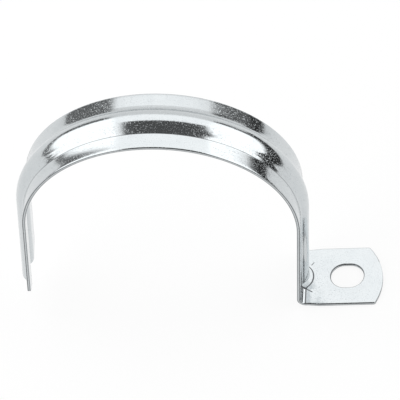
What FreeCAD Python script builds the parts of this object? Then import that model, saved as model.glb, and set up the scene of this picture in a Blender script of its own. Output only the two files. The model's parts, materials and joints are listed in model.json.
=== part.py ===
"""One-hole conduit strap: a ribbed steel strip bent over a conduit, with one slotted foot.

Millimetres, +Z up. The conduit's axis is the Y axis, and the surface that the
foot is screwed to lies below it. The foot points along +X.
"""
import FreeCAD, Part
import math
import os
import Sketcher

NODE = "conduit_strap"

# Driving dimensions: alias, value, what it is.
SIZES = [
    ("conduit_diameter", 114.3, "outside diameter of the conduit, the arch's inner diameter"),
    ("conduit_gap", 1.45, "from the conduit's underside to the mounting surface"),
    ("sheet_thickness", 1.5, "thickness of the strip"),
    ("strip_width", 28.0, "width of the strip along the conduit"),
    ("foot_leg_lean", 5.6, "degrees that the leg over the foot leans in, going down"),
    ("free_leg_lean", 4.8, "degrees that the free leg leans out, going down"),
    ("free_leg_drop", 48.1, "from the conduit's axis down to the free end"),
    ("free_end_radius", 19.5, "radius that the free end is cut to"),
    ("free_corner_radius", 0.8, "corners of the free end"),
    ("rib_height", 3.2, "height of the pressed rib over the flanges"),
    ("rib_half_width", 7.1, "from the rib's middle to where its root bend starts"),
    ("rib_root_radius", 2.6, "root bend on the outer face"),
    ("foot_bend_radius", 2.4, "inside radius of the bend between leg and foot"),
    ("foot_reach", 34.9, "from the leg's outer face to the crown of the foot's end"),
    ("foot_width", 29.0, "width of the foot, where the strip is not drawn in by the rib"),
    ("flare_start", 3.4, "from the leg's outer face to where the foot starts to widen"),
    ("flare_length", 4.6, "over which it widens"),
    ("foot_end_radius", 26.0, "radius that the foot's end is cut to"),
    ("foot_end_shift", 2.2, "how far that radius is centred off the strip's middle"),
    ("foot_corner_radius", 1.2, "corners of the foot's end"),
    ("slot_distance", 19.6, "from the leg's outer face to the slot's middle"),
    ("slot_length", 14.2, "overall length of the slot, along the foot"),
    ("slot_width", 12.0, "width of the slot, for a 10 mm or 3/8 inch bolt"),
]

# Shared expressions over the sheet's cells.
BORE_RADIUS = "sizes.conduit_diameter / 2"
AXIS_HEIGHT = f"({BORE_RADIUS} + sizes.conduit_gap)"
CROWN_RADIUS = (
    "((sizes.rib_half_width ^ 2 + sizes.rib_height ^ 2) / (2 * sizes.rib_height)"
    " - sizes.rib_root_radius)"
)

doc = FreeCAD.newDocument("strap")
sheet = doc.addObject("Spreadsheet::Sheet", "sizes")
for row, (alias, value, meaning) in enumerate(SIZES, start=1):
    sheet.set(f"A{row}", alias)
    sheet.set(f"B{row}", str(value))
    sheet.set(f"C{row}", meaning)
    sheet.setAlias(f"B{row}", alias)
doc.recompute()

body = doc.addObject("PartDesign::Body", "Strap")
body.Label = NODE


def size(alias):
    """Value of one cell of the sheet."""
    return float(sheet.get(alias))


def origin_plane(role):
    """One of the body's own origin planes, such as XY_Plane."""
    return next(item for item in body.Origin.OriginFeatures if item.Role == role)


def new_sketch(name, role, height=None, turn=0):
    """Sketch on an origin plane, moved along its normal by an expression and turned about it."""
    sketch = body.newObject("Sketcher::SketchObject", name)
    sketch.AttachmentSupport = [(origin_plane(role), "")]
    sketch.MapMode = "FlatFace"
    rotation = FreeCAD.Rotation(FreeCAD.Vector(0, 0, 1), turn)
    sketch.AttachmentOffset = FreeCAD.Placement(FreeCAD.Vector(0, 0, 0), rotation)
    if height:
        sketch.setExpression("AttachmentOffset.Base.z", height)
    return sketch


def bind(sketch, name, expression, kind, *where):
    """Dimension whose value follows the sheet, starting at the sketch's drawn size."""
    index = sketch.addConstraint(Sketcher.Constraint(kind, *where))
    sketch.renameConstraint(index, name)
    sketch.setExpression(f"Constraints.{name}", expression)


def line(sketch, start, end):
    return sketch.addGeometry(Part.LineSegment(FreeCAD.Vector(*start, 0), FreeCAD.Vector(*end, 0)))


def arc(sketch, centre, radius, start, end):
    """Arc from one angle to another, in degrees, anticlockwise."""
    circle = Part.Circle(FreeCAD.Vector(*centre, 0), FreeCAD.Vector(0, 0, 1), radius)
    return sketch.addGeometry(Part.ArcOfCircle(circle, math.radians(start), math.radians(end)))


def rib_line(sketch, tag, base, base_expression, depth):
    """Flange, root bend, crown, root bend, flange, across the strip.

    The line lies at the given depth of the sheet: 0 on its outer face and 1
    on the conduit's side. Returns the two flange lines.
    """
    thickness = size("sheet_thickness")
    half = size("strip_width") / 2
    root_x = size("rib_half_width")
    height = size("rib_height")
    root = size("rib_root_radius") + depth * thickness
    crown = (root_x ** 2 + height ** 2) / (2 * height) - size("rib_root_radius") - depth * thickness
    slope = math.degrees(math.asin(root_x / (root + crown)))
    root_y = base + root
    crown_y = root_y - (root + crown) * math.cos(math.radians(slope))

    left = line(sketch, (-half, base), (-root_x, base))
    left_root = arc(sketch, (-root_x, root_y), root, 270, 270 + slope)
    top = arc(sketch, (0, crown_y), crown, 90 - slope, 90 + slope)
    right_root = arc(sketch, (root_x, root_y), root, 270 - slope, 270)
    right = line(sketch, (root_x, base), (half, base))

    for first, first_end, second, second_end in (
        (left, 2, left_root, 1),
        (left_root, 2, top, 2),
        (top, 1, right_root, 1),
        (right_root, 2, right, 1),
    ):
        sketch.addConstraint(Sketcher.Constraint("Tangent", first, first_end, second, second_end))
    sketch.addConstraint(Sketcher.Constraint("Horizontal", left))
    sketch.addConstraint(Sketcher.Constraint("Horizontal", right))
    sketch.addConstraint(Sketcher.Constraint("Symmetric", left_root, 3, right_root, 3, -2))
    sketch.addConstraint(Sketcher.Constraint("Equal", left_root, right_root))

    inward = f"{depth} * sizes.sheet_thickness"
    bind(sketch, f"{tag}Root", f"sizes.rib_root_radius + {inward}", "Radius", left_root, root)
    bind(sketch, f"{tag}Crown", f"{CROWN_RADIUS} - {inward}", "Radius", top, crown)
    bind(sketch, f"{tag}Spread", "2 * sizes.rib_half_width",
         "DistanceX", left_root, 3, right_root, 3, 2 * root_x)
    bind(sketch, f"{tag}Base", base_expression, "DistanceY", -1, 1, left, 1, base)
    bind(sketch, f"{tag}Left", "sizes.strip_width / 2", "DistanceX", left, 1, -1, 1, half)
    bind(sketch, f"{tag}Right", "sizes.strip_width / 2", "DistanceX", -1, 1, right, 2, half)
    return left, right


def arch_section():
    """The strip's ribbed section, standing over the conduit's axis."""
    sketch = new_sketch("RibbedSection", "YZ_Plane")
    bore = size("conduit_diameter") / 2
    outside = bore + size("sheet_thickness")
    half = size("strip_width") / 2
    inner = rib_line(sketch, "inner", bore, BORE_RADIUS, 1)
    outer = rib_line(sketch, "outer", outside, f"{BORE_RADIUS} + sizes.sheet_thickness", 0)
    left = line(sketch, (-half, bore), (-half, outside))
    right = line(sketch, (half, bore), (half, outside))
    for edge, side, end in ((left, 0, 1), (right, 1, 2)):
        sketch.addConstraint(Sketcher.Constraint("Coincident", edge, 1, inner[side], end))
        sketch.addConstraint(Sketcher.Constraint("Coincident", edge, 2, outer[side], end))
    return sketch


def bend_arch(section):
    """The section turned about the conduit, from the top down to each leg."""
    arch = body.newObject("PartDesign::Revolution", "Arch")
    arch.Profile = section
    arch.ReferenceAxis = (section, ["H_Axis"])
    arch.Type = "TwoAngles"
    arch.setExpression("Angle", "90 + sizes.foot_leg_lean")
    arch.setExpression("Angle2", "90 - sizes.free_leg_lean")
    doc.recompute()
    return arch


def end_face(feature, side):
    """Name of the arch's flat end face on the +X or -X side."""
    for index, face in enumerate(feature.Shape.Faces, start=1):
        flat = isinstance(face.Surface, Part.Plane)
        if flat and abs(face.normalAt(0, 0).y) < 0.01 and face.CenterOfMass.x * side > 0:
            return f"Face{index}"
    raise RuntimeError("no end face on that side of the arch")


def straight_leg(name, arch, face, length):
    """The strip carried on straight from an end of the arch."""
    leg = body.newObject("PartDesign::Pad", name)
    leg.Profile = (arch, [face])
    leg.setExpression("Length", length)
    doc.recompute()
    return leg


def trim_below_foot():
    """The leg over the foot ends on the mounting surface."""
    sketch = new_sketch("MountingSurface", "XY_Plane", f"-{AXIS_HEIGHT}")
    reach = size("conduit_diameter")
    corners = ((-reach, -reach), (reach, -reach), (reach, reach), (-reach, reach))
    edges = [line(sketch, corners[i], corners[(i + 1) % 4]) for i in range(4)]
    for i in range(4):
        sketch.addConstraint(Sketcher.Constraint("Coincident", edges[i], 2, edges[(i + 1) % 4], 1))
        sketch.addConstraint(Sketcher.Constraint("Horizontal" if i % 2 == 0 else "Vertical", edges[i]))
    sketch.addConstraint(Sketcher.Constraint("Symmetric", edges[0], 1, edges[1], 2, -1, 1))
    bind(sketch, "across", "2 * sizes.conduit_diameter", "DistanceX", edges[0], 1, edges[0], 2, 2 * reach)
    bind(sketch, "along", "2 * sizes.conduit_diameter", "DistanceY", edges[1], 1, edges[1], 2, 2 * reach)
    cut = body.newObject("PartDesign::Pocket", "TrimBelowFoot")
    cut.Profile = sketch
    cut.Type = "ThroughAll"
    doc.recompute()
    return cut


def leg_x(offset, drop):
    """Where the foot's leg stands: x of a face of it, at a drop below the conduit's axis."""
    return (
        f"(({BORE_RADIUS} + {offset}) / cos(sizes.foot_leg_lean * 1 deg)"
        f" - {drop} * tan(sizes.foot_leg_lean * 1 deg))"
    )


FOOT_TOP = f"({AXIS_HEIGHT} - sizes.sheet_thickness)"
LEG_OUTSIDE = leg_x("sizes.sheet_thickness", FOOT_TOP)


def leg_outside():
    """Value of LEG_OUTSIDE: x of the leg's outer face at the foot's top."""
    lean = math.radians(size("foot_leg_lean"))
    thickness = size("sheet_thickness")
    bore = size("conduit_diameter") / 2
    drop = bore + size("conduit_gap") - thickness
    return (bore + thickness) / math.cos(lean) - drop * math.tan(lean)


def foot_plate():
    """The foot, whose hidden edge follows the ribbed leg inside its thickness.

    The sketch is turned so that its X runs along -Y and its Y along +X.
    """
    sketch = new_sketch("FootOutline", "XY_Plane", f"-{AXIS_HEIGHT}", turn=-90)
    half = size("strip_width") / 2
    wide = size("foot_width") / 2
    radius = size("foot_end_radius")
    shift = size("foot_end_shift")
    outside = leg_outside()
    middle = outside - size("sheet_thickness") / 2
    flare = outside + size("flare_start")
    flared = flare + size("flare_length")
    centre = outside + size("foot_reach") - radius
    hidden = leg_x("sizes.sheet_thickness / 2", f"({AXIS_HEIGHT} - sizes.sheet_thickness / 2)")
    left, right = rib_line(sketch, "hidden", middle, hidden, 0.5)

    left_end = centre + math.sqrt(radius ** 2 - (wide + shift) ** 2)
    right_end = centre + math.sqrt(radius ** 2 - (wide - shift) ** 2)
    ends = []
    for tag, sign, flange, flange_end, end_height in (
        ("left", -1, left, 1, left_end),
        ("right", 1, right, 2, right_end),
    ):
        straight = line(sketch, (sign * half, middle), (sign * half, flare))
        slope = line(sketch, (sign * half, flare), (sign * wide, flared))
        side = line(sketch, (sign * wide, flared), (sign * wide, end_height))
        for upright in (straight, side):
            sketch.addConstraint(Sketcher.Constraint("Vertical", upright))
        sketch.addConstraint(Sketcher.Constraint("Coincident", flange, flange_end, straight, 1))
        sketch.addConstraint(Sketcher.Constraint("Coincident", straight, 2, slope, 1))
        sketch.addConstraint(Sketcher.Constraint("Coincident", slope, 2, side, 1))
        bind(sketch, f"{tag}Flare", f"{LEG_OUTSIDE} + sizes.flare_start",
             "DistanceY", -1, 1, straight, 2, flare)
        bind(sketch, f"{tag}Flared", f"{LEG_OUTSIDE} + sizes.flare_start + sizes.flare_length",
             "DistanceY", -1, 1, slope, 2, flared)
        ends.append(side)
    bind(sketch, "leftWidth", "sizes.foot_width / 2", "DistanceX", ends[0], 2, -1, 1, wide)
    bind(sketch, "rightWidth", "sizes.foot_width / 2", "DistanceX", -1, 1, ends[1], 2, wide)

    right_angle = math.degrees(math.atan2(right_end - centre, wide - shift))
    left_angle = math.degrees(math.atan2(left_end - centre, -wide - shift))
    end = arc(sketch, (shift, centre), radius, right_angle, left_angle)
    sketch.addConstraint(Sketcher.Constraint("Coincident", end, 1, ends[1], 2))
    sketch.addConstraint(Sketcher.Constraint("Coincident", end, 2, ends[0], 2))
    bind(sketch, "endRadius", "sizes.foot_end_radius", "Radius", end, radius)
    bind(sketch, "endShift", "sizes.foot_end_shift", "DistanceX", -1, 1, end, 3, shift)
    bind(sketch, "endCentre", f"{LEG_OUTSIDE} + sizes.foot_reach - sizes.foot_end_radius",
         "DistanceY", -1, 1, end, 3, centre)
    plate = body.newObject("PartDesign::Pad", "Foot")
    plate.Profile = sketch
    plate.Length = size("sheet_thickness")
    plate.setExpression("Length", "sizes.sheet_thickness")
    doc.recompute()
    return plate


def round_free_end():
    """The free leg's end, cut to a round."""
    sketch = new_sketch("FreeEnd", "YZ_Plane")
    radius = size("free_end_radius")
    wide = size("strip_width")
    centre = radius - size("free_leg_drop")
    low = -2 * size("free_leg_drop")
    curve = arc(sketch, (0, centre), radius, 180, 360)
    right_top = line(sketch, (radius, centre), (wide, centre))
    right_side = line(sketch, (wide, centre), (wide, low))
    bottom = line(sketch, (wide, low), (-wide, low))
    left_side = line(sketch, (-wide, low), (-wide, centre))
    left_top = line(sketch, (-wide, centre), (-radius, centre))
    chain = [right_top, right_side, bottom, left_side, left_top]
    for first, second in zip(chain, chain[1:]):
        sketch.addConstraint(Sketcher.Constraint("Coincident", first, 2, second, 1))
    sketch.addConstraint(Sketcher.Constraint("Coincident", curve, 2, right_top, 1))
    sketch.addConstraint(Sketcher.Constraint("Coincident", left_top, 2, curve, 1))
    for flat in (right_top, left_top):
        sketch.addConstraint(Sketcher.Constraint("Horizontal", flat))
    for end in (1, 2):
        sketch.addConstraint(Sketcher.Constraint("Horizontal", curve, end, curve, 3))
    for upright in (right_side, left_side):
        sketch.addConstraint(Sketcher.Constraint("Vertical", upright))
    sketch.addConstraint(Sketcher.Constraint("Symmetric", bottom, 1, bottom, 2, -2))
    sketch.addConstraint(Sketcher.Constraint("PointOnObject", curve, 3, -2))
    bind(sketch, "endRadius", "sizes.free_end_radius", "Radius", curve, radius)
    bind(sketch, "endCentre", "sizes.free_leg_drop - sizes.free_end_radius",
         "DistanceY", curve, 3, -1, 1, -centre)
    bind(sketch, "cutWidth", "2 * sizes.strip_width", "DistanceX", bottom, 2, bottom, 1, 2 * wide)
    bind(sketch, "cutDepth", "2 * sizes.free_leg_drop", "DistanceY", bottom, 1, -1, 1, -low)
    cut = body.newObject("PartDesign::Pocket", "RoundFreeEnd")
    cut.Profile = sketch
    cut.Type = "ThroughAll"
    doc.recompute()
    return cut


def cut_slot():
    """The bolt slot, long along the foot."""
    sketch = new_sketch("SlotOutline", "XY_Plane", f"-{FOOT_TOP}")
    radius = size("slot_width") / 2
    straight = size("slot_length") - size("slot_width")
    middle = leg_outside() + size("slot_distance")
    near = middle - straight / 2
    far = middle + straight / 2
    far_end = arc(sketch, (far, 0), radius, -90, 90)
    near_end = arc(sketch, (near, 0), radius, 90, 270)
    upper = line(sketch, (far, radius), (near, radius))
    lower = line(sketch, (near, -radius), (far, -radius))
    for first, first_end, second, second_end in (
        (far_end, 2, upper, 1),
        (upper, 2, near_end, 1),
        (near_end, 2, lower, 1),
        (lower, 2, far_end, 1),
    ):
        sketch.addConstraint(Sketcher.Constraint("Tangent", first, first_end, second, second_end))
    sketch.addConstraint(Sketcher.Constraint("Equal", far_end, near_end))
    sketch.addConstraint(Sketcher.Constraint("PointOnObject", far_end, 3, -1))
    sketch.addConstraint(Sketcher.Constraint("PointOnObject", near_end, 3, -1))
    half_straight = "(sizes.slot_length - sizes.slot_width) / 2"
    bind(sketch, "endRadius", "sizes.slot_width / 2", "Radius", far_end, radius)
    bind(sketch, "nearCentre", f"{LEG_OUTSIDE} + sizes.slot_distance - {half_straight}",
         "DistanceX", -1, 1, near_end, 3, near)
    bind(sketch, "farCentre", f"{LEG_OUTSIDE} + sizes.slot_distance + {half_straight}",
         "DistanceX", -1, 1, far_end, 3, far)
    cut = body.newObject("PartDesign::Pocket", "Slot")
    cut.Profile = sketch
    cut.Type = "ThroughAll"
    doc.recompute()
    return cut


def round_edges(name, base, wanted, radius):
    """Fillet on every edge of the base feature that the test picks."""
    names = [f"Edge{i}" for i, edge in enumerate(base.Shape.Edges, start=1) if wanted(edge)]
    if not names:
        raise RuntimeError(f"{name}: no edge to round")
    fillet = body.newObject("PartDesign::Fillet", name)
    fillet.Base = (base, names)
    fillet.setExpression("Radius", radius)
    doc.recompute()
    return fillet


def crosses_leg_at(level):
    """Test for the edges where the leg meets a flat face of the foot at that height."""
    beyond_rib = leg_outside() + size("rib_height") + size("sheet_thickness")

    def wanted(edge):
        box = edge.BoundBox
        flat = abs(box.ZMin - level) < 0.001 and abs(box.ZMax - level) < 0.001
        return flat and box.YLength > 0.001 and box.XMax < beyond_rib

    return wanted


def is_foot_corner(edge):
    """Upright edge at the foot's far end, on the strip's side."""
    box = edge.BoundBox
    upright = box.XLength < 0.001 and box.YLength < 0.001
    on_side = abs(abs(box.YMin) - size("foot_width") / 2) < 0.001
    return upright and on_side and box.XMin > leg_outside() + size("slot_distance")


def is_free_corner(edge):
    """Edge through the sheet at a corner of the free end."""
    box = edge.BoundBox
    through = box.YLength < 0.001 and box.ZLength < 0.001
    on_side = abs(abs(box.YMin) - size("strip_width") / 2) < 0.001
    return through and on_side and box.XMax < 0


arch = bend_arch(arch_section())
overlap = "2 * sizes.sheet_thickness"
foot_leg_length = (
    f"({AXIS_HEIGHT} / cos(sizes.foot_leg_lean * 1 deg)"
    f" - {BORE_RADIUS} * tan(sizes.foot_leg_lean * 1 deg) + {overlap})"
)
free_leg_length = (
    f"(sizes.free_leg_drop / cos(sizes.free_leg_lean * 1 deg)"
    f" + {BORE_RADIUS} * tan(sizes.free_leg_lean * 1 deg) + {overlap})"
)
foot_leg = straight_leg("FootLeg", arch, end_face(arch, 1), foot_leg_length)
free_leg = straight_leg("FreeLeg", foot_leg, end_face(foot_leg, -1), free_leg_length)
trim_below_foot()
foot_plate()
round_free_end()
slotted = cut_slot()

mounting_level = -(size("conduit_diameter") / 2 + size("conduit_gap"))
foot_top_level = mounting_level + size("sheet_thickness")
inside_bend = round_edges("BendInside", slotted, crosses_leg_at(foot_top_level), "sizes.foot_bend_radius")
outside_bend = round_edges("BendOutside", inside_bend, crosses_leg_at(mounting_level),
                           "sizes.foot_bend_radius + sizes.sheet_thickness")
foot_corners = round_edges("FootCorners", outside_bend, is_foot_corner, "sizes.foot_corner_radius")
finished = round_edges("FreeCorners", foot_corners, is_free_corner, "sizes.free_corner_radius")
body.Tip = finished
doc.recompute()

for item in doc.Objects:
    if "Invalid" in item.State or "Error" in item.State:
        raise RuntimeError(f"{item.Name} failed: {item.State}")
if body.Shape.isNull() or not body.Shape.isValid() or len(body.Shape.Solids) != 1:
    raise RuntimeError("the strap is not one valid solid")

os.makedirs("parts", exist_ok=True)
body.Shape.exportStep(f"parts/{NODE}.step")
box = body.Shape.BoundBox
print(f"{NODE}: {box.XLength:.2f} x {box.YLength:.2f} x {box.ZLength:.2f} mm,"
      f" volume {body.Shape.Volume:.0f} mm3")
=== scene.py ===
import json
import math
from functools import partial

import bpy
import numpy as np
from mathutils import Matrix, Vector


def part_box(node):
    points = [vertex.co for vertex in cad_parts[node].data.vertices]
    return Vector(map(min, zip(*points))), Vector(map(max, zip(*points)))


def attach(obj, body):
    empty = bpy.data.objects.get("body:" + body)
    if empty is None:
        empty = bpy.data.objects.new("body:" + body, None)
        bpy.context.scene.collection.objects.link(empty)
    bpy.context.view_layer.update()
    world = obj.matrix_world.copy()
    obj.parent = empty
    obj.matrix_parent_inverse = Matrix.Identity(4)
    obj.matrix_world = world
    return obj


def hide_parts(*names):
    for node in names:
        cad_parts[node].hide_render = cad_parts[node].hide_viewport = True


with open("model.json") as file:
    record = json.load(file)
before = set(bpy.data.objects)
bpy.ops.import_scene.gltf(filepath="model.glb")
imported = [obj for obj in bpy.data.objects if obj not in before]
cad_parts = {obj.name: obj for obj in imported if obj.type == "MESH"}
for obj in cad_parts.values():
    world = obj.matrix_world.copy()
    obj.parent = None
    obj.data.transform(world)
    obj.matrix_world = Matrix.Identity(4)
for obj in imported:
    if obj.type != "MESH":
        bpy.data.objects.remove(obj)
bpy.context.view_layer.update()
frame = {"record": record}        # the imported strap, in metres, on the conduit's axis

boxLow, boxHigh = (Vector(corner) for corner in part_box("conduit_strap"))
mounts = {mount["name"]: mount for mount in frame["record"]["mounts"]}
mm = 0.001


strap = {
    "conduitRadius": mounts["conduit_seat"]["dims"]["r_mm"] * mm,
    "footLevel": mounts["foot_underside"]["pos_m"][2],      # underside of the foot
    "footTop": mounts["bolt_slot"]["pos_m"][2],
    "slotPlace": mounts["bolt_slot"]["pos_m"][0],
    "width": mounts["conduit_seat"]["dims"]["length_mm"] * mm,
    "footWidth": boxHigh.y - boxLow.y,     # the rib draws the strip in, the flat foot keeps its width
    "footEnd": boxHigh.x,
    "ribHalfWidth": 7.1 * mm,
    "ribRootRadius": 2.6 * mm,
    "footLegLean": math.radians(5.6),      # leans in, going down
    "freeLegLean": math.radians(4.8),      # leans out, going down
    "freeLegDrop": 48.1 * mm,              # conduit's axis down to the free end
    "freeEndRadius": 19.5 * mm,
    "bendRadius": 2.4 * mm,
    "flareStart": 3.4 * mm,                # from the leg's outer face
    "flareLength": 4.6 * mm,
    "footEndRadius": 26.0 * mm,
    "footEndShift": -2.2 * mm,
    "footCornerRadius": 1.2 * mm,
    "slotLength": 14.2 * mm,
    "slotWidth": 12.0 * mm,
    "edgeRoll": 0.5 * mm,                  # the shears round the outer edge over
    "edgeRollDepth": 0.42 * mm,
    "burrRadius": 0.12 * mm,
    "ribRunOut": 7.0 * mm,                 # over which the foot makes up for the rib's longer bend
    "pitch": {                             # how finely the strip is divided
        "flange": 0.8 * mm,
        "rib": 0.3 * mm,
        "leg": 1.5 * mm,
        "arch": 1.2 * mm,
        "legFoot": 0.4 * mm,
        "bend": 0.28 * mm,
        "ribEnd": 0.2 * mm,
        "foot": 0.5 * mm,
        "outline": 0.6 * mm,
    },
    "zone": {                              # how far its finer parts reach
        "ribMargin": 0.5 * mm,
        "freeEnd": 6 * mm,
        "legFoot": 8 * mm,                 # before the bend
        "ribEnd": 4 * mm,                  # past the bend
        "beforeSlot": 7.5 * mm,
    },
    "count": {"freeEndRows": 25, "cornerPoints": 7, "slotRings": 12, "rollPoints": 9, "burrPoints": 4},
}
strap["sheet"] = strap["footTop"] - strap["footLevel"]
strap["outerRadius"] = strap["conduitRadius"] + strap["sheet"]
strap["ribHeight"] = boxHigh.z - strap["outerRadius"]


def stations():
    # distances along the strip from the top of the arch, on its outer face
    s = strap
    turn = math.pi / 2 + s["footLegLean"]
    centreZ = s["footTop"] + s["bendRadius"]
    centreX = (s["outerRadius"] + s["bendRadius"] - centreZ * math.cos(turn)) / math.sin(turn)
    found = {"turn": turn, "bendX": centreX}
    found["archFree"] = -s["outerRadius"] * (math.pi / 2 - s["freeLegLean"])
    found["archFoot"] = s["outerRadius"] * turn
    found["legLength"] = centreX * math.cos(turn) - centreZ * math.sin(turn)
    found["bendLength"] = (s["bendRadius"] + s["sheet"] / 2) * turn
    found["footStart"] = found["archFoot"] + found["legLength"] + found["bendLength"]
    springing = s["outerRadius"] * math.sin(s["freeLegLean"])
    found["freeEnd"] = found["archFree"] - (s["freeLegDrop"] + springing) / math.cos(s["freeLegLean"])
    found["legFace"] = s["outerRadius"] / math.cos(s["footLegLean"])
    found["legFace"] += s["footTop"] * math.tan(s["footLegLean"])
    return found


along = stations()


def onFoot(x):
    return along["footStart"] + x - along["bendX"]


def steps(start, end, size):
    # even steps that leave the end out
    return np.linspace(start, end, max(1, round(abs(end - start) / size)), endpoint=False)


def slotOutline(angle, radius):
    # the slot's outline seen from its middle
    half = (strap["slotLength"] - strap["slotWidth"]) / 2
    c, s = math.cos(angle), math.sin(angle)
    if abs(c) * radius <= half * abs(s):
        reach = radius / abs(s)
    else:
        reach = half * abs(c) + math.sqrt(radius ** 2 - (half * s) ** 2)
    return reach * c, reach * s


def footOutline(roll):
    # round the foot from its near side, over the end, to its far side
    s = strap
    cornerPoints, pitch = s["count"]["cornerPoints"], s["pitch"]["outline"]
    half = s["footWidth"] / 2
    corner = s["footCornerRadius"]
    radius = s["footEndRadius"]
    shift = s["footEndShift"]
    centre = onFoot(s["footEnd"] - radius)
    points = []
    lead = []
    for side in (-1, 1):
        across = side * (half - corner) - shift
        reach = math.sqrt((radius - corner) ** 2 - across ** 2)
        lead.append((centre + reach, side * (half - corner), math.atan2(across, reach)))
    nearS, nearV, nearTurn = lead[0]
    farS, farV, farTurn = lead[1]
    for a in np.linspace(-math.pi / 2, nearTurn, cornerPoints)[:-1]:
        points.append((nearS + (corner - roll) * math.cos(a), nearV + (corner - roll) * math.sin(a)))
    for a in np.linspace(nearTurn, farTurn, round(radius * (farTurn - nearTurn) / pitch)):
        points.append((centre + (radius - roll) * math.cos(a), shift + (radius - roll) * math.sin(a)))
    for a in np.linspace(farTurn, math.pi / 2, cornerPoints)[1:]:
        points.append((farS + (corner - roll) * math.cos(a), farV + (corner - roll) * math.sin(a)))
    return points


def blankPlan():
    # the cut strip laid flat, less its rolled edge: points (along, across) and four-sided faces
    s = strap
    pitch, zone = s["pitch"], s["zone"]
    roll = s["edgeRoll"]
    half = s["width"] / 2 - roll
    rib = s["ribHalfWidth"] + zone["ribMargin"]
    columns = np.concatenate([steps(-half, -rib, pitch["flange"]), steps(-rib, rib, pitch["rib"]),
                              steps(rib, half, pitch["flange"]), [half]])

    endCentre = along["freeEnd"] + s["freeEndRadius"]
    endLine = endCentre - np.sqrt((s["freeEndRadius"] - roll) ** 2 - columns ** 2)
    endZone = max(endLine) + zone["freeEnd"]
    rows = []
    for part in np.linspace(0, 1, s["count"]["freeEndRows"], endpoint=False):
        rows.append(endLine + (endZone - endLine) * part)
    legEnd = along["archFoot"] + along["legLength"]
    bendEnd = along["footStart"]
    blockStart = bendEnd + zone["beforeSlot"]
    for station in np.concatenate([
            steps(endZone, along["archFree"], pitch["leg"]),
            steps(along["archFree"], along["archFoot"], pitch["arch"]),
            steps(along["archFoot"], legEnd - zone["legFoot"], pitch["leg"]),
            steps(legEnd - zone["legFoot"], legEnd, pitch["legFoot"]),
            steps(legEnd, bendEnd, pitch["bend"]),
            steps(bendEnd, bendEnd + zone["ribEnd"], pitch["ribEnd"]),
            steps(bendEnd + zone["ribEnd"], blockStart, pitch["foot"]), [blockStart]]):
        rows.append(np.full(len(columns), station))

    points = [(a, v) for row in rows for a, v in zip(row, columns)]
    extra = (s["footWidth"] - s["width"]) / 2
    flare = onFoot(along["legFace"] + s["flareStart"])
    for k, (a, v) in enumerate(points):
        if a > flare and abs(v) > rib:
            grown = extra * min(1.0, (a - flare) / s["flareLength"]) * (abs(v) - rib) / (half - rib)
            points[k] = (a, v + math.copysign(grown, v))
    wide = len(columns)
    faces = []
    for i in range(len(rows) - 1):
        for j in range(wide - 1):
            k = i * wide + j
            faces.append((k, k + wide, k + wide + 1, k + 1))

    # rings from the foot's outline in to the slot
    outline = footOutline(roll)
    near = [(a, -half - extra) for a in steps(blockStart, outline[0][0], pitch["outline"])[1:]]
    far = [(a, half + extra) for a in steps(outline[-1][0], blockStart, pitch["outline"])[1:]]
    ring = [(len(rows) - 1) * wide + j for j in reversed(range(wide))]
    for point in near + outline + far:
        ring.append(len(points))
        points.append(point)
    middle = onFoot(s["slotPlace"])
    slotRadius = s["slotWidth"] / 2 + roll
    outer = [points[k] for k in ring]
    inner = []
    for a, v in outer:
        x, y = slotOutline(math.atan2(v, a - middle), slotRadius)
        inner.append((middle + x, y))
    for level in range(1, s["count"]["slotRings"] + 1):
        part = level / s["count"]["slotRings"]
        following = []
        for (a, v), (b, w) in zip(outer, inner):
            following.append(len(points))
            points.append((a + (b - a) * part, v + (w - v) * part))
        for k in range(len(ring)):
            m = (k + 1) % len(ring)
            faces.append((ring[k], ring[m], following[m], following[k]))
        ring = following
    return np.array(points), faces


def openEdges(faces):
    # closed loops round the plan, with the metal on their left
    after = {}
    used = set()
    for face in faces:
        for a, b in zip(face, face[1:] + face[:1]):
            used.add((a, b))
    for a, b in used:
        if (b, a) not in used:
            after[a] = b
    loops = []
    while after:
        start = next(iter(after))
        loop = []
        here = start
        while here in after:
            loop.append(here)
            here = after.pop(here)
        loops.append(loop)
    return loops


def outward(plan, loop):
    # direction away from the metal at each point of a loop
    here = plan[loop]
    step = np.roll(here, -1, axis=0) - here
    step /= np.linalg.norm(step, axis=1)[:, None]
    side = np.stack([step[:, 1], -step[:, 0]], axis=1)
    both = side + np.roll(side, 1, axis=0)
    both /= np.linalg.norm(both, axis=1)[:, None]
    return both / np.maximum(np.sum(both * side, axis=1), 0.85)[:, None]


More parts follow.
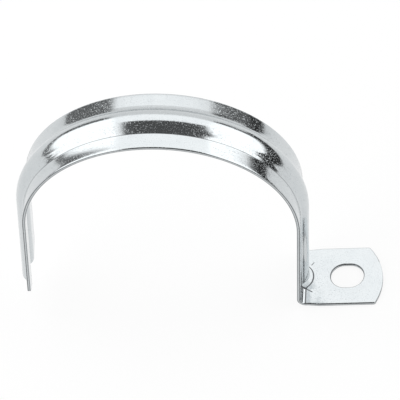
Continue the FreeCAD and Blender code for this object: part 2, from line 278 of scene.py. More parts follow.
def makeBlank():
    # flat strip with both faces, sheared edges and the slot, outer face up
    s = strap
    plan, faces = blankPlan()
    sheet = s["sheet"]
    burr = s["burrRadius"]
    under = len(plan)
    vertices = [(a, v, 0.0) for a, v in plan] + [(a, v, -sheet) for a, v in plan]
    polygons = list(faces)
    polygons += [tuple(under + k for k in reversed(face)) for face in faces]
    profile = []
    for a in np.linspace(0, math.pi / 2, s["count"]["rollPoints"])[1:]:
        profile.append((s["edgeRoll"] * math.sin(a), s["edgeRollDepth"] * (1 - math.cos(a))))
    for a in np.linspace(0, math.pi / 2, s["count"]["burrPoints"]):
        profile.append((s["edgeRoll"] - burr * (1 - math.cos(a)), sheet - burr * (1 - math.sin(a))))
    for loop in openEdges(faces):
        away = outward(plan, loop)
        previous = loop
        for offset, depth in profile:
            ring = []
            for k, direction in zip(loop, away):
                ring.append(len(vertices))
                a, v = plan[k] + direction * offset
                vertices.append((a, v, -depth))
            for k in range(len(loop)):
                m = (k + 1) % len(loop)
                polygons.append((previous[m], previous[k], ring[k], ring[m]))
            previous = ring
        for k in range(len(loop)):
            m = (k + 1) % len(loop)
            polygons.append((previous[m], previous[k], under + loop[k], under + loop[m]))
    mesh = bpy.data.meshes.new("strapBlank")
    mesh.from_pydata(vertices, [], polygons)
    mesh.polygons.foreach_set("use_smooth", [True] * len(mesh.polygons))
    blank = bpy.data.objects.new("strapBlank", mesh)
    bpy.context.scene.collection.objects.link(blank)
    return blank


def math2(tree, operation, *values):
    # one Math node, joined to sockets or given numbers
    node = tree.nodes.new("ShaderNodeMath")
    node.operation = operation
    for place, value in enumerate(values):
        if isinstance(value, (int, float)):
            node.inputs[place].default_value = value
        else:
            tree.links.new(value, node.inputs[place])
    return node.outputs[0]


def formingTree(material):
    # Geometry Nodes that press the rib into the flat strip and bend it to the conduit
    tree = bpy.data.node_groups.new("formStrap", "GeometryNodeTree")
    tree.interface.new_socket(name="Geometry", in_out="OUTPUT", socket_type="NodeSocketGeometry")
    tree.interface.new_socket(name="Geometry", in_out="INPUT", socket_type="NodeSocketGeometry")
    for name in ("Conduit Radius", "Sheet", "Rib Height", "Rib Half Width", "Rib Root Radius",
                 "Free Leg Turn", "Foot Leg Turn", "Leg Length", "Bend Length", "Bend Radius",
                 "Foot Top", "Rib Run Out"):
        tree.interface.new_socket(name=name, in_out="INPUT", socket_type="NodeSocketFloat")
    source = tree.nodes.new("NodeGroupInput").outputs
    sink = tree.nodes.new("NodeGroupOutput")
    m = partial(math2, tree)

    place = tree.nodes.new("GeometryNodeInputPosition").outputs[0]
    split = tree.nodes.new("ShaderNodeSeparateXYZ")
    tree.links.new(place, split.inputs[0])
    run, across = split.outputs[0], split.outputs[1]
    depth = m("MULTIPLY", split.outputs[2], -1.0)
    outerRadius = m("ADD", source["Conduit Radius"], source["Sheet"])

    # the rib's section: root bend, crown, root bend
    half = source["Rib Half Width"]
    tall = source["Rib Height"]
    root = source["Rib Root Radius"]
    both = m("DIVIDE", m("ADD", m("MULTIPLY", half, half), m("MULTIPLY", tall, tall)),
             m("MULTIPLY", tall, 2.0))
    sine = m("DIVIDE", half, both)
    cosine = m("SQRT", m("SUBTRACT", 1.0, m("MULTIPLY", sine, sine)))
    wide = m("ABSOLUTE", across)
    rootHere = m("ADD", root, depth)
    crownHere = m("SUBTRACT", m("SUBTRACT", both, root), depth)
    rootCentre = m("ADD", outerRadius, root)
    fromRoot = m("SUBTRACT", half, wide)
    onRoot = m("SUBTRACT", rootCentre, m("SQRT", m("MAXIMUM", 0.0, m(
        "SUBTRACT", m("MULTIPLY", rootHere, rootHere), m("MULTIPLY", fromRoot, fromRoot)))))
    crownCentre = m("SUBTRACT", rootCentre, m("MULTIPLY", both, cosine))
    onCrown = m("ADD", crownCentre, m("SQRT", m("MAXIMUM", 0.0, m(
        "SUBTRACT", m("MULTIPLY", crownHere, crownHere), m("MULTIPLY", wide, wide)))))
    meets = m("SUBTRACT", half, m("MULTIPLY", rootHere, sine))
    flange = m("SUBTRACT", outerRadius, depth)

    def pick(test, yes, no):
        # yes where test is 1, no where it is 0
        return m("ADD", no, m("MULTIPLY", test, m("SUBTRACT", yes, no)))

    height = pick(m("LESS_THAN", wide, half), pick(m("LESS_THAN", wide, meets), onCrown, onRoot), flange)

    # the arch, and the two legs that carry on straight from it
    freeTurn = m("MULTIPLY", source["Free Leg Turn"], -1.0)
    angle = m("MINIMUM", m("MAXIMUM", m("DIVIDE", run, outerRadius), freeTurn), source["Foot Leg Turn"])
    straight = m("SUBTRACT", run, m("MULTIPLY", angle, outerRadius))
    turn = source["Foot Leg Turn"]
    sinTurn, cosTurn = m("SINE", turn), m("COSINE", turn)
    bendHere = m("ADD", source["Bend Radius"], depth)
    bendZ = m("ADD", source["Foot Top"], source["Bend Radius"])
    bendX = m("DIVIDE", m("SUBTRACT", m("ADD", height, bendHere), m("MULTIPLY", bendZ, cosTurn)),
              sinTurn)
    legHere = m("SUBTRACT", m("MULTIPLY", bendX, cosTurn), m("MULTIPLY", bendZ, sinTurn))
    onLeg = m("MULTIPLY", straight, pick(m("GREATER_THAN", straight, 0.0),
                                         m("DIVIDE", legHere, source["Leg Length"]), 1.0))
    sinAngle, cosAngle = m("SINE", angle), m("COSINE", angle)
    archX = m("ADD", m("MULTIPLY", height, sinAngle), m("MULTIPLY", onLeg, cosAngle))
    archZ = m("SUBTRACT", m("MULTIPLY", height, cosAngle), m("MULTIPLY", onLeg, sinAngle))

    # the bend into the foot, and the flat foot past it
    past = m("SUBTRACT", straight, source["Leg Length"])
    bent = m("MINIMUM", 1.0, m("MAXIMUM", 0.0, m("DIVIDE", past, source["Bend Length"])))
    bent = m("MULTIPLY", turn, bent)
    facing = m("SUBTRACT", turn, bent)
    flat = m("MAXIMUM", 0.0, m("SUBTRACT", past, source["Bend Length"]))
    ribShift = m("DIVIDE", m("SUBTRACT", height, flange), sinTurn)
    regained = m("MULTIPLY", ribShift, m("MINIMUM", 1.0, m("DIVIDE", flat, source["Rib Run Out"])))
    footX = m("SUBTRACT", bendX, m("MULTIPLY", bendHere, m("SINE", facing)))
    footX = m("SUBTRACT", m("ADD", footX, flat), regained)
    footZ = m("SUBTRACT", bendZ, m("MULTIPLY", bendHere, m("COSINE", facing)))
    isFoot = m("GREATER_THAN", past, 0.0)
    join = tree.nodes.new("ShaderNodeCombineXYZ")
    tree.links.new(pick(isFoot, footX, archX), join.inputs[0])
    tree.links.new(across, join.inputs[1])
    tree.links.new(pick(isFoot, footZ, archZ), join.inputs[2])

    keep = tree.nodes.new("GeometryNodeStoreNamedAttribute")
    keep.data_type = "FLOAT_VECTOR"
    keep.domain = "POINT"
    keep.inputs["Name"].default_value = "rolled"
    tree.links.new(source["Geometry"], keep.inputs["Geometry"])
    tree.links.new(place, keep.inputs["Value"])
    shape = tree.nodes.new("GeometryNodeSetPosition")
    tree.links.new(keep.outputs[0], shape.inputs["Geometry"])
    tree.links.new(join.outputs[0], shape.inputs["Position"])
    real = tree.nodes.new("GeometryNodeRealizeInstances")
    tree.links.new(shape.outputs[0], real.inputs[0])
    paint = tree.nodes.new("GeometryNodeSetMaterial")
    paint.inputs["Material"].default_value = material
    tree.links.new(real.outputs[0], paint.inputs["Geometry"])
    tree.links.new(paint.outputs[0], sink.inputs[0])
    return tree


def formStrap(blank, material):
    # bends the flat strip and keeps the result as a plain mesh
    tree = formingTree(material)
    values = {
        "Conduit Radius": strap["conduitRadius"],
        "Sheet": strap["sheet"],
        "Rib Height": strap["ribHeight"],
        "Rib Half Width": strap["ribHalfWidth"],
        "Rib Root Radius": strap["ribRootRadius"],
        "Free Leg Turn": math.pi / 2 - strap["freeLegLean"],
        "Foot Leg Turn": along["turn"],
        "Leg Length": along["legLength"],
        "Bend Length": along["bendLength"],
        "Bend Radius": strap["bendRadius"],
        "Foot Top": strap["footTop"],
        "Rib Run Out": strap["ribRunOut"],
    }
    modifier = blank.modifiers.new("form", "NODES")
    modifier.node_group = tree
    for item in tree.interface.items_tree:
        if item.in_out == "INPUT" and item.name in values:
            modifier[item.identifier] = values[item.name]
    seen = blank.evaluated_get(bpy.context.evaluated_depsgraph_get())
    mesh = bpy.data.meshes.new_from_object(seen)
    mesh.name = "strap"
    blank.modifiers.remove(modifier)
    piece = bpy.data.objects.new("strap", mesh)
    bpy.context.scene.collection.objects.link(piece)
    bpy.data.objects.remove(blank)
    return piece


zinc = {
    "colour": (0.603, 0.632, 0.645, 1.0),
    "shade": (0.556, 0.589, 0.606, 1.0),   # thinner, duller plate
    "shadeShare": 0.7,
    "line": (0.060, 0.062, 0.066, 1.0),    # painted shade: dark lines in creases, round the cut edges and the slot, and where the roll turns into the cut wall
    "lineShare": 0.92,
    "wall": (0.490, 0.515, 0.525, 1.0),
    "roughness": 0.10,
    "shadeRough": 0.04,
    "lineRough": 0.22,
    "grainSize": 0.25 * mm,
    "grainDepth": 0.008 * mm,
    "grainRough": 0.30,                    # extra roughness of the coarse grains
    "grainShade": 0.25,
    "coarseGrain": (0.52, 0.66),           # of the noise, where grains turn coarse
    "mottleSize": 5.0 * mm,
    "mottleRange": (0.35, 0.70),
    "mottleShare": 0.6,
    "streakLength": 14.0 * mm,
    "streakWidth": 0.9 * mm,
    "streakRange": (0.45, 0.75),
    "streakShare": 0.4,
    "tearWidth": 0.5 * mm,
    "tearHeight": 1.6 * mm,
    "tearRange": (0.30, 0.62),
    "tearLeft": 0.35,                      # how much of the wall's tone the tears keep
    "wallTop": (-0.90, -1.25),             # in depths of the edge's roll
    "wallFoot": (0.5, 2.0),                # in radii of the burr, from the inner face
    # how the pressing turned the sheet, given to the shading normals only, in degrees; places are from
    # the rib's half width
    "pressing": {
        "farLean": 5.0,
        "farLeanWidth": 0.8 * mm,
        "farRootTurn": 6.0,
        "farRootPlace": 0.15 * mm,
        "farRootWidth": (0.2 * mm, 0.7 * mm),
        "nearRootLean": -2.2,                  # near flange on the free leg's side: down at the root
        "nearEdgeLean": 3.0,                   # and up at the edge
        "nearRootSpan": (-0.4 * mm, 0.4 * mm),
        "nearEdgeSpan": 0.8 * mm,              # from the root, and from the edge
        "nearLeanFade": (-18 * mm, 8 * mm),    # along the strip, from the top of the arch
        "rootTurn": -13.0,                     # the near root is pressed sharper
        "rootPlace": 0.50 * mm,
        "rootWidth": (0.2 * mm, 0.6 * mm),
        "rootFade": (68 * mm, 54 * mm),        # before the leg to the foot
        "rootFaded": 0.3,
        "creaseTurn": 12.0,
        "creasePlace": 0.20 * mm,
        "creaseWidth": (0.0, 0.14 * mm),
        "footDip": 4.5,                        # beside the bend, on the near side
        "dipWidth": 2.0 * mm,
        "dipStart": (-0.6 * mm, 0.0),          # from where the foot starts
        "dipEnd": (1.5 * mm, 5.5 * mm),
        "ribFade": (-1.2 * mm, -0.3 * mm),
        "endPress": 6.0,                       # how strongly the rib's end is shaded as if pressed flat
        "endLength": (3.1 * mm, 2.7 * mm),     # before the crease
    },
    # painted shade: dark lines of the strap, places from the rib's half width or from the foot's flat
    "marks": {
        # painted shade round the cut edges, in depths of their roll: where it fades in, and out
        "rollLineBand": ((-0.42, -0.66), (-1.36, -1.12)),
        "rimLineBand": ((-0.03, -0.16), (-0.75, -0.50)),
        "rimLine": 1.00,                       # how dark the painted shade round the punched rim is
        "rimReach": (1.25, 1.40),              # squared, in half sizes of the slot
        "innerLine": 0.62,                     # painted shade along the cut edge's inner side
        "innerLineBand": ((0.48 * mm, 0.36 * mm), (0.06 * mm, 0.14 * mm)),
        # painted shade in the crease where the rib's end meets the foot
        "bendLineWidth": 0.60 * mm,
        "bendLinePlace": 0.75 * mm,            # on the flanges
        "crownLinePlace": 0.95 * mm,
        # painted shade along the rib's near root
        "rootLinePlace": 0.80 * mm,
        "rootLineWidth": (0.25 * mm, 0.60 * mm),
        "rootLineStart": (-20 * mm, -2 * mm),  # on the leg, from where the bend starts
        "rootLineEnd": (-1.0 * mm, -0.4 * mm), # from where the foot starts
        # painted shade in a thin line near the rib's near root
        "pressLine": 0.70,
        "pressLinePlace": 0.35 * mm,
        "pressLineWidth": (0.05 * mm, 0.22 * mm),
        # painted shade in short puckers beside the rib's end: two ends of each from the leg's face, and
        # its half width
        "puckers": [
            ((2.0 * mm, -6.3 * mm), (4.7 * mm, -8.0 * mm), 0.34 * mm),
            ((4.1 * mm, 5.9 * mm), (5.1 * mm, 7.2 * mm), 0.24 * mm),
        ],
    },
}


def ramp(tree, value, start, end, low=0.0, high=1.0):
    # soft step from low to high between two values
    node = tree.nodes.new("ShaderNodeMapRange")
    node.interpolation_type = "SMOOTHSTEP"
    tree.links.new(value, node.inputs["Value"])
    for name, number in zip(("From Min", "From Max", "To Min", "To Max"), (start, end, low, high)):
        node.inputs[name].default_value = number
    return node.outputs["Result"]


def band(tree, value, middle, inner, outer, strength=1.0):
    # soft stripe round one value
    away = math2(tree, "ABSOLUTE", math2(tree, "SUBTRACT", value, middle))
    return ramp(tree, away, inner, outer, strength, 0.0)


def layer(tree, level, fadeIn, fadeOut, strength=1.0):
    # soft band of the sheet's depth
    inside = ramp(tree, level, *fadeIn, 0.0, strength)
    return math2(tree, "MULTIPLY", inside, ramp(tree, level, *fadeOut))


def spread(start, pair, size=1.0):
    # two places measured from one
    return tuple(start + number * size for number in pair)


def noise(tree, place, scale, detail, seed):
    node = tree.nodes.new("ShaderNodeTexNoise")
    node.noise_dimensions = "4D"
    node.inputs["W"].default_value = seed
    node.inputs["Scale"].default_value = scale
    node.inputs["Detail"].default_value = detail
    tree.links.new(place, node.inputs["Vector"])
    return node.outputs[0]


def vectorMath(tree, operation, *vectors):
    node = tree.nodes.new("ShaderNodeVectorMath")
    node.operation = operation
    for place, vector in enumerate(vectors):
        tree.links.new(vector, node.inputs[place])
    return node.outputs[0]


def axes(tree, **numbers):
    # a vector from the sockets given for x, y and z
    node = tree.nodes.new("ShaderNodeCombineXYZ")
    for name, number in numbers.items():
        tree.links.new(number, node.inputs[name.upper()])
    return node.outputs[0]


def stretched(tree, place, scale):
    node = tree.nodes.new("ShaderNodeMapping")
    node.inputs["Scale"].default_value = scale
    tree.links.new(place, node.inputs["Vector"])
    return node.outputs[0]


def pressedNormal(tree, where):
    # shading normals for flanges that lean where the rib drew the sheet in, sharper roots, and the rib's
    # flat end; the mesh keeps its shape
    p = zinc["pressing"]
    half = strap["ribHalfWidth"]
    edge = strap["width"] / 2
    bend = along["footStart"]
    run, across, near, onTop = where["run"], where["across"], where["near"], where["onTop"]
    m = partial(math2, tree)

    rootLean, edgeLean = math.radians(p["nearRootLean"]), math.radians(p["nearEdgeLean"])
    span = p["nearEdgeSpan"]
    lean = m("ADD", ramp(tree, near, *spread(half, p["nearRootSpan"]), 0.0, rootLean),
             ramp(tree, near, half + span, edge - span, 0.0, edgeLean - rootLean))
    lean = m("MULTIPLY", lean, ramp(tree, run, *p["nearLeanFade"], 1.0, 0.0))
    farLean = ramp(tree, across, half, half + p["farLeanWidth"], 0.0, math.radians(p["farLean"]))
    lean = m("ADD", lean, farLean)
    fadeStart, fadeEnd = (along["archFoot"] - length for length in p["rootFade"])
    rootTurn = m("MULTIPLY", ramp(tree, run, fadeStart, fadeEnd, 1.0, p["rootFaded"]),
                 math.radians(p["rootTurn"]))
    for place, width, turn in (
            (-(half + p["farRootPlace"]), p["farRootWidth"], math.radians(p["farRootTurn"])),
            (half - p["rootPlace"], p["rootWidth"], rootTurn),
            (half - p["creasePlace"], p["creaseWidth"], math.radians(p["creaseTurn"]))):
        lean = m("ADD", lean, m("MULTIPLY", band(tree, near, place, *width), turn))
    lean = m("MULTIPLY", m("MULTIPLY", lean, onTop), where["onStrip"])

    dip = m("MULTIPLY", ramp(tree, near, half - p["dipWidth"], half, 0.0, math.radians(p["footDip"])), m(
        "MULTIPLY", ramp(tree, run, *spread(bend, p["dipStart"])),
        ramp(tree, run, *spread(bend, p["dipEnd"]), 1.0, 0.0)))
    tip = axes(tree, x=m("TANGENT", m("MULTIPLY", dip, onTop)), y=m("TANGENT", lean))
    own = tree.nodes.new("ShaderNodeNewGeometry").outputs["Normal"]
    facing = vectorMath(tree, "ADD", own, tip)

    onRib = m("MULTIPLY", ramp(tree, near, *spread(half, p["ribFade"]), 1.0, 0.0),
              ramp(tree, across, *spread(half, p["ribFade"]), 1.0, 0.0))
    farOut, nearIn = p["endLength"]
    pressed = m("MULTIPLY", m("MULTIPLY", onTop, onRib), ramp(tree, where["past"], -farOut, -nearIn))
    upward = axes(tree, z=m("MULTIPLY", pressed, p["endPress"]))
    return vectorMath(tree, "NORMALIZE", vectorMath(tree, "ADD", facing, upward))


def puckerShadeLine(tree, x, y, ends, width):
    # painted shade in a pucker: a short dark line between two places on the foot
    (x0, y0), (x1, y1) = ends
    dx, dy = x1 - x0, y1 - y0
    m = partial(math2, tree)
    fromX = m("SUBTRACT", x, along["legFace"] + x0)
    fromY = m("SUBTRACT", y, y0)
    part = m("ADD", m("MULTIPLY", fromX, dx), m("MULTIPLY", fromY, dy))
    part = m("DIVIDE", part, dx * dx + dy * dy)
    part = m("MINIMUM", 1.0, m("MAXIMUM", 0.0, part))
    gapX = m("SUBTRACT", fromX, m("MULTIPLY", part, dx))
    gapY = m("SUBTRACT", fromY, m("MULTIPLY", part, dy))
    gap = m("SQRT", m("ADD", m("MULTIPLY", gapX, gapX), m("MULTIPLY", gapY, gapY)))
    return ramp(tree, gap, 0.3 * width, width, 1.0, 0.0)


def paintedShadeLines(tree, where):
    # painted shade: dark lines round the cut edges and the slot, in the crease at the rib's end, along
    # its near root, and in the puckers
    k = zinc["marks"]
    half = strap["ribHalfWidth"]
    roll = strap["edgeRollDepth"]
    bend = along["footStart"]
    legEnd = along["archFoot"] + along["legLength"]
    run, across, near, level = where["run"], where["across"], where["near"], where["level"]
    m = partial(math2, tree)

    # painted shade where the edge's roll turns into the cut wall, and along the cut edge's inner side
    line = layer(tree, level, *(spread(0.0, pair, roll) for pair in k["rollLineBand"]))
    inner = [spread(-strap["sheet"], pair) for pair in k["innerLineBand"]]
    line = m("MAXIMUM", line, layer(tree, level, *inner, k["innerLine"]))

    split = tree.nodes.new("ShaderNodeSeparateXYZ")
    tree.links.new(where["body"], split.inputs[0])
    x, y = split.outputs[0], split.outputs[1]
    offX = m("DIVIDE", m("SUBTRACT", x, strap["slotPlace"]), strap["slotLength"] / 2 + roll)
    offY = m("DIVIDE", y, strap["slotWidth"] / 2 + roll)
    fromSlot = m("ADD", m("MULTIPLY", offX, offX), m("MULTIPLY", offY, offY))
    # painted shade round the slot's punched rim
    rim = layer(tree, level, *(spread(0.0, pair, roll) for pair in k["rimLineBand"]))
    rim = m("MULTIPLY", rim, ramp(tree, fromSlot, *k["rimReach"], k["rimLine"], 0.0))
    line = m("MAXIMUM", line, rim)

    # painted shade in the crease at the rib's end, along its near root, and in a thin line near it
    width = k["bendLineWidth"]
    bendLine = m("MULTIPLY", band(tree, where["past"], 0.0, 0.3 * width, width),
                 ramp(tree, across, half - 1.0 * mm, half - 0.4 * mm, 1.0, 0.0))
    bendLine = m("MULTIPLY", bendLine, ramp(tree, near, half - 1.0 * mm, half, 1.0, 0.9))
    rootLine = m("MULTIPLY", band(tree, near, half - k["rootLinePlace"], *k["rootLineWidth"]), m(
        "MULTIPLY", ramp(tree, run, *spread(legEnd, k["rootLineStart"])),
        ramp(tree, run, *spread(bend, k["rootLineEnd"]), 1.0, 0.0)))
    pressLine = band(tree, near, half - k["pressLinePlace"], *k["pressLineWidth"], k["pressLine"])
    pressLine = m("MULTIPLY", pressLine, where["onStrip"])
    bendLine = m("MAXIMUM", bendLine, m("MAXIMUM", rootLine, pressLine))
    line = m("MAXIMUM", line, m("MULTIPLY", bendLine, where["onTop"]))

    # painted shade in the puckers on the foot
    onFootTop = m("MULTIPLY", where["onTop"], m("SUBTRACT", 1.0, where["onStrip"]))
    for *ends, width in k["puckers"]:
        line = m("MAXIMUM", line, m("MULTIPLY", puckerShadeLine(tree, x, y, ends, width), onFootTop))
    return line


def tornWall(tree, where):
    # the cut edge below its roll, torn in patches
    roll, sheet, burr = strap["edgeRollDepth"], strap["sheet"], strap["burrRadius"]
    size = (1 / zinc["tearWidth"], 1 / zinc["tearWidth"], 1 / zinc["tearHeight"])
    tear = noise(tree, stretched(tree, where["rolled"], size), 1.0, 2.0, 11.0)
    fadeIn, fadeOut = spread(0.0, zinc["wallTop"], roll), spread(-sheet, zinc["wallFoot"], burr)
    wall = layer(tree, where["level"], fadeIn, fadeOut)
    return math2(tree, "MULTIPLY", wall, ramp(tree, tear, *zinc["tearRange"], 1.0, zinc["tearLeft"]))


def tint(tree, factor, first, second):
    mix = tree.nodes.new("ShaderNodeMix")
    mix.data_type = "RGBA"
    tree.links.new(factor, mix.inputs["Factor"])
    for name, value in (("A", first), ("B", second)):
        if isinstance(value, tuple):
            mix.inputs[name].default_value = value
        else:
            tree.links.new(value, mix.inputs[name])
    return mix.outputs["Result"]


def stripPlaces(tree):
    # where a point is on the strip: along it, across it, below its outer face, and which part
    m = partial(math2, tree)
    rolled = tree.nodes.new("ShaderNodeAttribute")
    rolled.attribute_name = "rolled"
    split = tree.nodes.new("ShaderNodeSeparateXYZ")
    tree.links.new(rolled.outputs["Vector"], split.inputs[0])
    run, across, level = split.outputs
    near = m("MULTIPLY", across, -1.0)
    half = strap["ribHalfWidth"]
    place = zinc["marks"]["bendLinePlace"]
    extra = zinc["marks"]["crownLinePlace"] - place
    crease = m("ADD", place, ramp(tree, near, -0.2 * half, half, extra, 0.0))
    return {
        "rolled": rolled.outputs["Vector"],
        "body": tree.nodes.new("ShaderNodeTexCoord").outputs["Object"],
        "run": run,
        "across": across,
        "near": near,
        "level": level,
        "past": m("ADD", m("SUBTRACT", run, along["footStart"]), crease),
        "onTop": ramp(tree, level, -0.6 * strap["sheet"], -0.5 * strap["edgeRollDepth"]),
        "onStrip": ramp(tree, run, along["archFoot"] + along["legLength"], along["footStart"], 1.0, 0.0),
    }


def zincPlate():
    # bright zinc on pressed strip: fine grain, faint mottling, draw marks along the strip, and painted
    # shade in dark lines at creases, cut edges and the slot
    material = bpy.data.materials.new("zincPlate")
    material.use_nodes = True
    tree = material.node_tree
    shader = tree.nodes["Principled BSDF"]
    shader.inputs["Metallic"].default_value = 1.0
    z = zinc
    where = stripPlaces(tree)
    m = partial(math2, tree)

    grain = noise(tree, where["body"], 0.5 / z["grainSize"], 3.0, 1.0)
    size = (1 / z["streakLength"], 1 / z["streakWidth"], 0.0)
    streak = noise(tree, stretched(tree, where["rolled"], size), 1.0, 3.0, 4.0)
    mottle = noise(tree, where["body"], 1.0 / z["mottleSize"], 4.0, 7.0)
    bump = tree.nodes.new("ShaderNodeBump")
    bump.inputs["Distance"].default_value = z["grainDepth"]
    bump.inputs["Strength"].default_value = 1.0
    tree.links.new(grain, bump.inputs["Height"])
    tree.links.new(pressedNormal(tree, where), bump.inputs["Normal"])
    tree.links.new(bump.outputs[0], shader.inputs["Normal"])

    tone = m("ADD", m("MULTIPLY", ramp(tree, mottle, *z["mottleRange"]), z["mottleShare"]),
             m("MULTIPLY", ramp(tree, streak, *z["streakRange"]), z["streakShare"]))
    coarse = ramp(tree, grain, *z["coarseGrain"])
    # painted shade: dark lines at creases, cut edges and the slot
    line = paintedShadeLines(tree, where)
    wall = tornWall(tree, where)
    dull = m("MAXIMUM", m("MULTIPLY", tone, z["shadeShare"]), m("MULTIPLY", coarse, z["grainShade"]))
    plate = tint(tree, dull, z["colour"], z["shade"])
    plate = tint(tree, wall, plate, z["wall"])
    plate = tint(tree, m("MULTIPLY", line, z["lineShare"]), plate, z["line"])
    tree.links.new(plate, shader.inputs["Base Color"])
    rough = m("ADD", z["roughness"], m("MULTIPLY", tone, z["shadeRough"]))
    rough = m("ADD", rough, m("MULTIPLY", coarse, z["grainRough"]))
    rough = m("ADD", rough, m("MULTIPLY", m("MAXIMUM", wall, line), z["lineRough"]))
    tree.links.new(rough, shader.inputs["Roughness"])
    return material


print("strap: cutting the blank")
blank = makeBlank()
print("strap: pressing the rib and bending")
piece = formStrap(blank, zincPlate())
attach(piece, "root")
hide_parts("conduit_strap")


studio = {
    "floorSize": 6.0,
    "floorGap": 0.05 * mm,
    "floorColour": (0.97, 0.97, 0.97, 1.0),
    "floorGlow": 0.86,              # share of plain white, so that only soft shadow shows
    "cameraTarget": (16.03 * mm, 0.0, 1.14 * mm),
    "cameraDistance": 2.8,
    "cameraTurn": 11.25,            # degrees round from the strap's front, towards the foot
    "cameraHeight": 53.66,          # degrees above the level
    "cameraRoll": -10.77,
    "viewWidth": 168.55 * mm,       # what the frame takes in at the strap
    "flagColour": (0.03, 0.03, 0.03, 1.0),
    "flags": [
        {"line": ((0.46, 0.64), (0.44, 0.10), (0.40, -0.15), (0.345, -0.235)), "height": 0.118},
        {"line": ((-1.10, -0.38), (-0.62, -0.68)), "height": 0.080},
    ],
    "wallLight": 0.93,
    # cards round the strap, in degrees from straight up; 1 is white, None is no limit
    "cards": [
        {"ahead": (None, 50), "light": 1.42, "soft": 8},
        {"right": (None, -29), "ahead": (None, 46), "light": 1.75, "soft": 4},
        {"right": (38, None), "ahead": (None, 46), "light": 1.75, "soft": 4},
        {"right": (-24, 37), "ahead": (None, 1), "light": 0.10, "soft": 5},
        {"right": (-70, -32), "ahead": (45, 66), "light": 0.16, "soft": 7},
        {"right": (36, 80), "ahead": (50, 65), "light": 0.12, "soft": 5},
        {"right": (50, None), "ahead": (-12, 62), "down": (84.5, None), "light": 0.10, "soft": 6},
        {"right": (None, -50), "ahead": (-30, 55), "down": (82.5, None), "light": 0.20, "soft": 7},
    ],
}


def makeFloor():
    size = studio["floorSize"] / 2
    level = strap["footLevel"] - studio["floorGap"]
    mesh = bpy.data.meshes.new("floor")
    corners = [(x * size, y * size, level) for x, y in ((-1, -1), (1, -1), (1, 1), (-1, 1))]
    mesh.from_pydata(corners, [], [(0, 1, 2, 3)])
    floor = bpy.data.objects.new("floor", mesh)
    bpy.context.scene.collection.objects.link(floor)
    material = bpy.data.materials.new("floorPaper")
    material.use_nodes = True
    tree = material.node_tree
    shader = tree.nodes["Principled BSDF"]
    shader.inputs["Base Color"].default_value = studio["floorColour"]
    shader.inputs["Roughness"].default_value = 0.9
    shader.inputs["Specular IOR Level"].default_value = 0.1
    white = tree.nodes.new("ShaderNodeEmission")
    path = tree.nodes.new("ShaderNodeLightPath").outputs
    seen = math2(tree, "MAXIMUM", path["Is Camera Ray"], math2(
        tree, "MAXIMUM", path["Is Glossy Ray"], path["Is Transmission Ray"]))
    both = tree.nodes.new("ShaderNodeMixShader")
    tree.links.new(math2(tree, "MULTIPLY", seen, studio["floorGlow"]), both.inputs[0])
    tree.links.new(shader.outputs[0], both.inputs[1])
    tree.links.new(white.outputs[0], both.inputs[2])
    tree.links.new(both.outputs[0], tree.nodes["Material Output"].inputs["Surface"])
    mesh.materials.append(material)


def makeFlags():
    # low black cards that stand on the floor out of view and give the metal its dark reflections
    material = bpy.data.materials.new("blackCard")
    material.use_nodes = True
    shader = material.node_tree.nodes["Principled BSDF"]
    shader.inputs["Base Color"].default_value = studio["flagColour"]
    shader.inputs["Roughness"].default_value = 0.9
    shader.inputs["Specular IOR Level"].default_value = 0.0
    for number, flag in enumerate(studio["flags"]):
        low = strap["footLevel"]
        high = low + flag["height"]
        points = [(x, y, z) for z in (low, high) for x, y in flag["line"]]
        size = len(flag["line"])
        mesh = bpy.data.meshes.new("flag%d" % number)
        mesh.from_pydata(points, [], [(k, k + 1, k + 1 + size, k + size) for k in range(size - 1)])
        mesh.materials.append(material)
        card = bpy.data.objects.new("flag%d" % number, mesh)
        bpy.context.scene.collection.objects.link(card)
        card.visible_camera = False


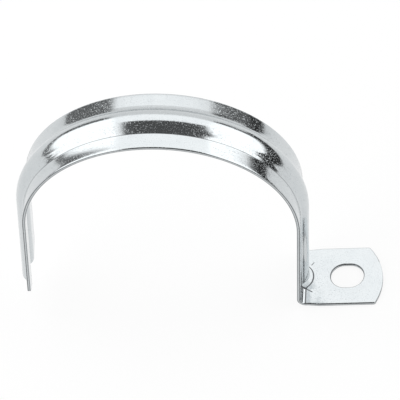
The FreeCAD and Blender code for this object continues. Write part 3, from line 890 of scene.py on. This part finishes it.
def makeCamera():
    data = bpy.data.cameras.new("camera")
    camera = bpy.data.objects.new("camera", data)
    bpy.context.scene.collection.objects.link(camera)
    target = Vector(studio["cameraTarget"])
    turn = math.radians(studio["cameraTurn"])
    high = math.radians(studio["cameraHeight"])
    away = Vector((math.sin(turn) * math.cos(high), -math.cos(turn) * math.cos(high), math.sin(high)))
    look = (-away).to_track_quat("-Z", "Y").to_matrix().to_4x4()
    spin = Matrix.Rotation(math.radians(studio["cameraRoll"]), 4, "Z")
    camera.matrix_world = Matrix.Translation(target + away * studio["cameraDistance"]) @ look @ spin
    data.sensor_width = 36.0
    data.lens = data.sensor_width * studio["cameraDistance"] / studio["viewWidth"]
    data.clip_start = 0.1
    data.clip_end = 20.0
    bpy.context.scene.camera = camera


def makeLight():
    # a tent of soft light: bright sides and top, open behind the camera, dim low down at the sides
    world = bpy.data.worlds.new("studio")
    world.use_nodes = True
    tree = world.node_tree
    m = partial(math2, tree)

    split = tree.nodes.new("ShaderNodeSeparateXYZ")
    tree.links.new(tree.nodes.new("ShaderNodeTexCoord").outputs["Generated"], split.inputs[0])
    x, y, z = split.outputs
    down = m("DIVIDE", m("ARCCOSINE", z), math.radians(1.0))        # degrees from straight up
    flat = m("MAXIMUM", m("SQRT", m("ADD", m("MULTIPLY", x, x), m("MULTIPLY", y, y))), 0.0001)
    right = m("DIVIDE", m("MULTIPLY", down, x), flat)
    ahead = m("DIVIDE", m("MULTIPLY", down, y), flat)
    level = studio["wallLight"]
    for card in studio["cards"]:
        soft = card["soft"] / 2
        mask = 1.0
        for name, value in (("right", right), ("ahead", ahead), ("down", down)):
            low, high = card.get(name, (None, None))
            if low is not None:
                mask = m("MULTIPLY", mask, ramp(tree, value, low - soft, low + soft))
            if high is not None:
                mask = m("MULTIPLY", mask, ramp(tree, value, high - soft, high + soft, 1.0, 0.0))
        level = m("ADD", m("MULTIPLY", level, m("SUBTRACT", 1.0, mask)),
                  m("MULTIPLY", mask, card["light"]))
    background = tree.nodes["Background"]
    background.inputs["Color"].default_value = (1, 1, 1, 1)
    tree.links.new(level, background.inputs["Strength"])
    bpy.context.scene.world = world


print("studio: floor, camera, light")
makeFloor()
makeFlags()
makeCamera()
makeLight()
bpy.context.scene.view_settings.view_transform = "Standard"
